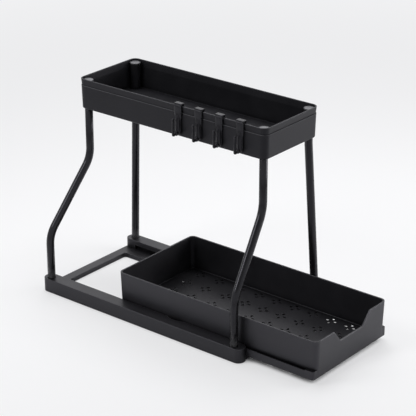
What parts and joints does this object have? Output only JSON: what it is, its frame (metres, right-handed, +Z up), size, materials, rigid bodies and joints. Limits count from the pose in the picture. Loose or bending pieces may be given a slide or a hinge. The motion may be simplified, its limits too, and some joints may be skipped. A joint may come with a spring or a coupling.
{
  "type": "under sink organizer",
  "caption": "Two-tier cabinet organizer: a narrow open tray on four tubes over a base frame with a pull-out drawer, and sliding hooks on the tray rim.",
  "frame": {"origin": "on the floor under the middle of the whole object as pictured, with the drawer part way out", "axes": "+Z up; the drawer pulls out along -Y; +X is the side of the straight tubes, -X the side of the bent tubes and the hooks"},
  "size_m": [0.22, 0.522, 0.34],
  "materials": {
    "frame_plastic": "fine satin texture",
    "tray_plastic": "fine satin texture",
    "drawer_plastic": "fine satin texture",
    "hook_plastic": "smooth satin",
    "cap_plastic": "smooth satin",
    "tube_coating": "satin powder coat",
    "plug_plastic": "plain",
    "pad_rubber": "matte"
  },
  "bodies": {
    "stand": {"base_frame": "frame_plastic", "foot_pads": "pad_rubber", "tube_plugs": "plug_plastic", "top_tray": "tray_plastic", "post_near_rear": "tube_coating", "post_near_front": "tube_coating", "post_far_rear": "tube_coating", "post_far_front": "tube_coating", "cap_near_rear": "cap_plastic", "cap_near_front": "cap_plastic", "cap_far_rear": "cap_plastic", "cap_far_front": "cap_plastic"},
    "drawer": {"drawer_tray": "drawer_plastic"},
    "hook_1": {"hook_1": "hook_plastic"},
    "hook_2": {"hook_2": "hook_plastic"},
    "hook_3": {"hook_3": "hook_plastic"},
    "hook_4": {"hook_4": "hook_plastic"}
  },
  "joints": [
    {"name": "drawer_slide", "type": "slide", "parent": "stand", "child": "drawer", "axis": [0, -1, 0], "range_m": [-0.1046, 0.1]},
    {"name": "hook_1_slide", "type": "slide", "parent": "stand", "child": "hook_1", "axis": [0, 1, 0], "range_m": [-0.0125, 0.1752]},
    {"name": "hook_2_slide", "type": "slide", "parent": "stand", "child": "hook_2", "axis": [0, 1, 0], "range_m": [-0.0125, 0.0125]},
    {"name": "hook_3_slide", "type": "slide", "parent": "stand", "child": "hook_3", "axis": [0, 1, 0], "range_m": [-0.0125, 0.0125]},
    {"name": "hook_4_slide", "type": "slide", "parent": "stand", "child": "hook_4", "axis": [0, 1, 0], "range_m": [-0.0171, 0.0125]}
  ]
}
